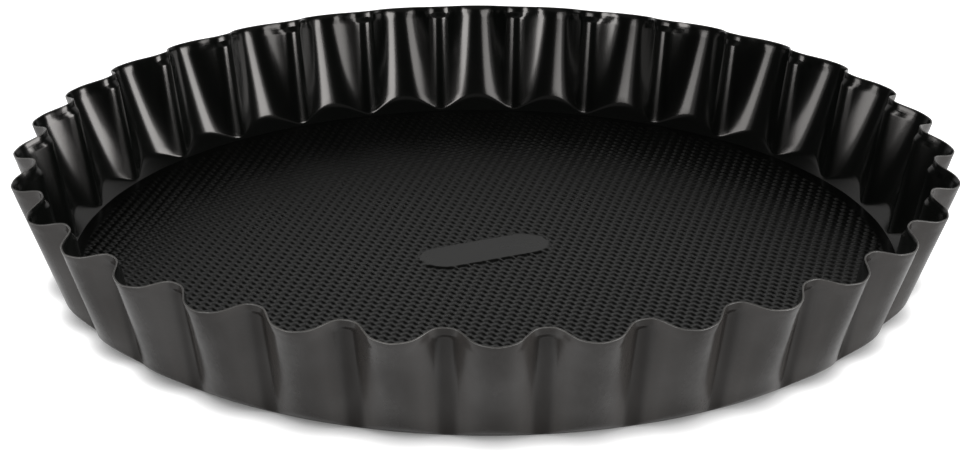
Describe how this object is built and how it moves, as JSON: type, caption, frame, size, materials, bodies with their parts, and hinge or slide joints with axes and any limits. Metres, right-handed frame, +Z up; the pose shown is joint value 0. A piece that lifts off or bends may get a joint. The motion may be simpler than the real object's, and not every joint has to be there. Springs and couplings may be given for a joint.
{
  "type": "fluted tart tin",
  "caption": "Round fluted tart tin in dark coated steel: a scalloped wall leaning outwards, with a loose flat base that lies on a seat and lifts out through the top.",
  "frame": {"origin": "middle of the flat seat ring that the tin stands on", "axes": "+Z up through the open top; one outward flute lies on -Y, towards the viewer of the picture"},
  "size_m": [0.28, 0.28, 0.035],
  "materials": {
    "ring_coating": "satin non-stick coating on steel sheet, glossier inside",
    "base_coating": "satin non-stick coating on embossed steel sheet"
  },
  "bodies": {
    "ring": {"fluted_ring": "ring_coating"},
    "base": {"loose_base": "base_coating"}
  },
  "joints": [
    {"name": "base_lift", "type": "slide", "parent": "ring", "child": "base", "axis": [0, 0, 1], "range_m": [0, 0.06]}
  ]
}
